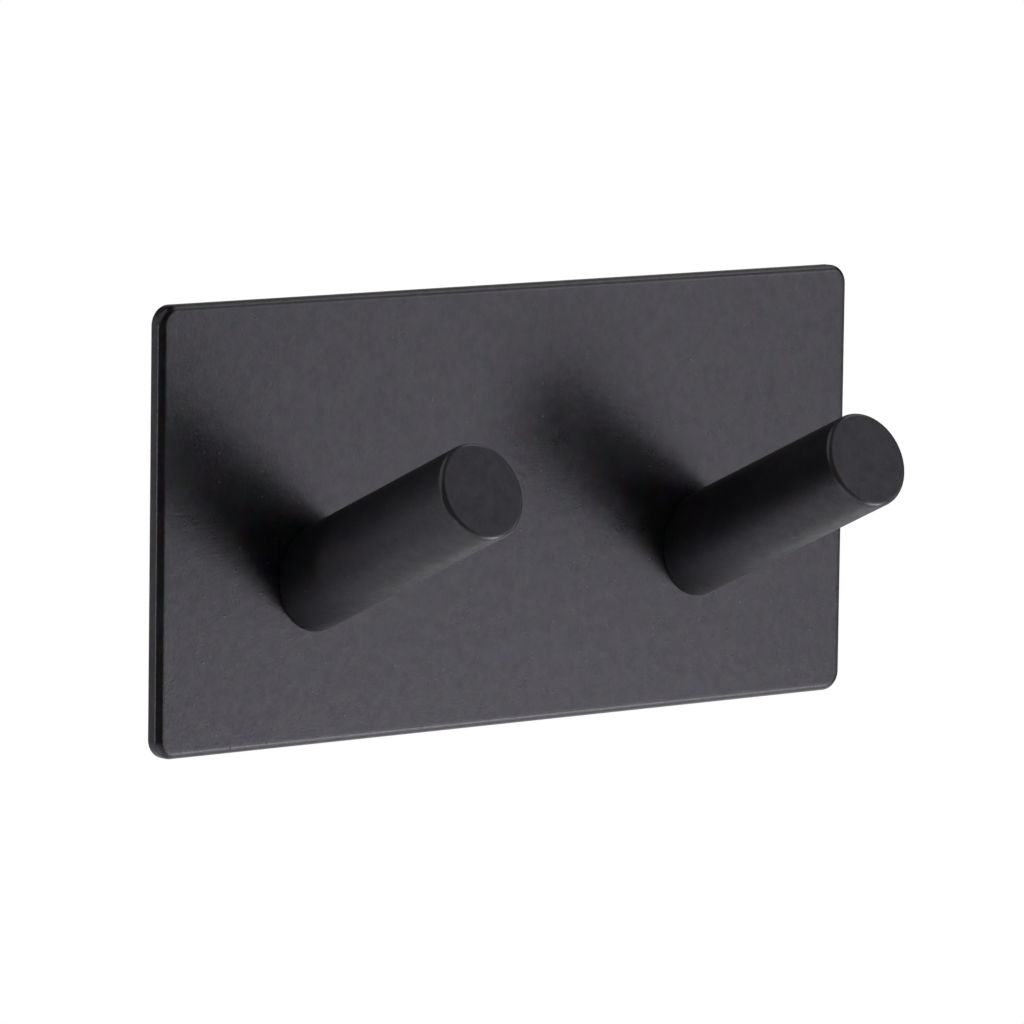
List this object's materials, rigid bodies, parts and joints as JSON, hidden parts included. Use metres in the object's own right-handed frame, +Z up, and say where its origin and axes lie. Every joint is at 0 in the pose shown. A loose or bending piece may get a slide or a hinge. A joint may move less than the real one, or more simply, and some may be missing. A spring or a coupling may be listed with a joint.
{
  "type": "double robe hook",
  "caption": "Flat rectangular wall plate with round pegs side by side that lean up and out to hang robes and towels on.",
  "frame": {"origin": "centre of the foam tape's wall side, which lies on the wall", "axes": "+X to the right along the plate's length, +Y into the wall, +Z up; the pegs point toward -Y"},
  "size_m": [0.09, 0.0304, 0.045],
  "materials": {
    "matte_black_coating": "matte",
    "plated_screw_steel": "satin",
    "foam_tape": "matte"
  },
  "bodies": {
    "root": {"back_plate": "matte_black_coating", "left_peg": "matte_black_coating", "right_peg": "matte_black_coating", "left_peg_screw": "plated_screw_steel", "right_peg_screw": "plated_screw_steel", "adhesive_pad": "foam_tape"}
  },
  "joints": []
}
